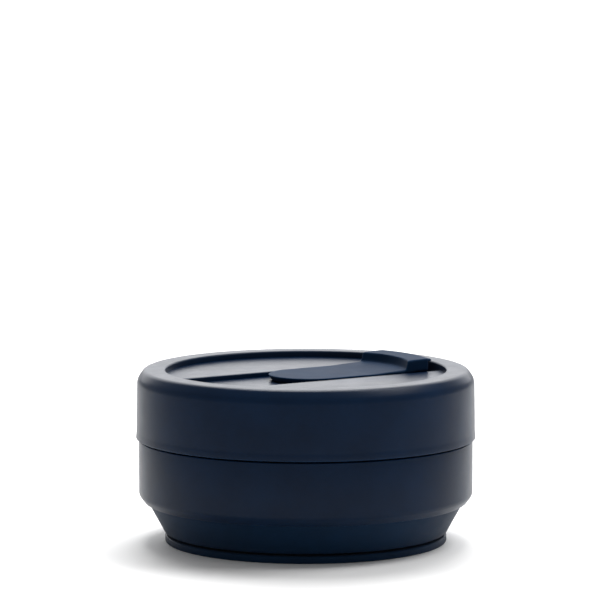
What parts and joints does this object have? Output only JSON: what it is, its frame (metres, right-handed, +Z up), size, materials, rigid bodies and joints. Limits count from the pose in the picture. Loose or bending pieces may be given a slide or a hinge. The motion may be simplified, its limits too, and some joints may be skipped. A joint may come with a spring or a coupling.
{
  "type": "collapsible travel cup",
  "caption": "Folded silicone travel cup with a heat sleeve, a press-on lid and a flip stopper over its sip hole.",
  "frame": {"origin": "on the table, under the middle of the cup's foot, with the cup folded", "axes": "+Z up through the middle of the cup and lid; +X along the stopper, from its fold line to its thumb bar"},
  "size_m": [0.0964, 0.0964, 0.051],
  "materials": {
    "cup_silicone": "matte",
    "sleeve_plastic": "satin",
    "lid_plastic": "satin",
    "stopper_silicone": "matte"
  },
  "bodies": {
    "base": {"cup_base_section": "cup_silicone"},
    "fold": {"cup_fold_wall": "cup_silicone"},
    "upper": {"cup_upper_wall": "cup_silicone"},
    "sleeve": {"heat_sleeve": "sleeve_plastic"},
    "lid": {"lid_shell": "lid_plastic", "stopper_anchor": "stopper_silicone"},
    "stopper": {"stopper_strap": "stopper_silicone", "stopper_head": "stopper_silicone"}
  },
  "joints": [
    {"name": "cup_extend", "type": "slide", "parent": "base", "child": "upper", "axis": [0, 0, 1], "range_m": [0, 0.072]},
    {"name": "fold_follow", "type": "slide", "parent": "base", "child": "fold", "axis": [0, 0, 1], "range_m": [0, 0.036]},
    {"name": "sleeve_slide", "type": "slide", "parent": "upper", "child": "sleeve", "axis": [0, 0, -1], "range_m": [0, 0.01]},
    {"name": "lid_lift", "type": "slide", "parent": "upper", "child": "lid", "axis": [0, 0, 1], "range_m": [0, 0.03]},
    {"name": "stopper_hinge", "type": "hinge", "parent": "lid", "child": "stopper", "pos_m": [0.006, 0, 0.0476], "axis": [0, -1, 0], "range_deg": [0, 160]}
  ],
  "couplings": [
    {"joint": "fold_follow", "follows": "cup_extend", "ratio": 0.5}
  ]
}
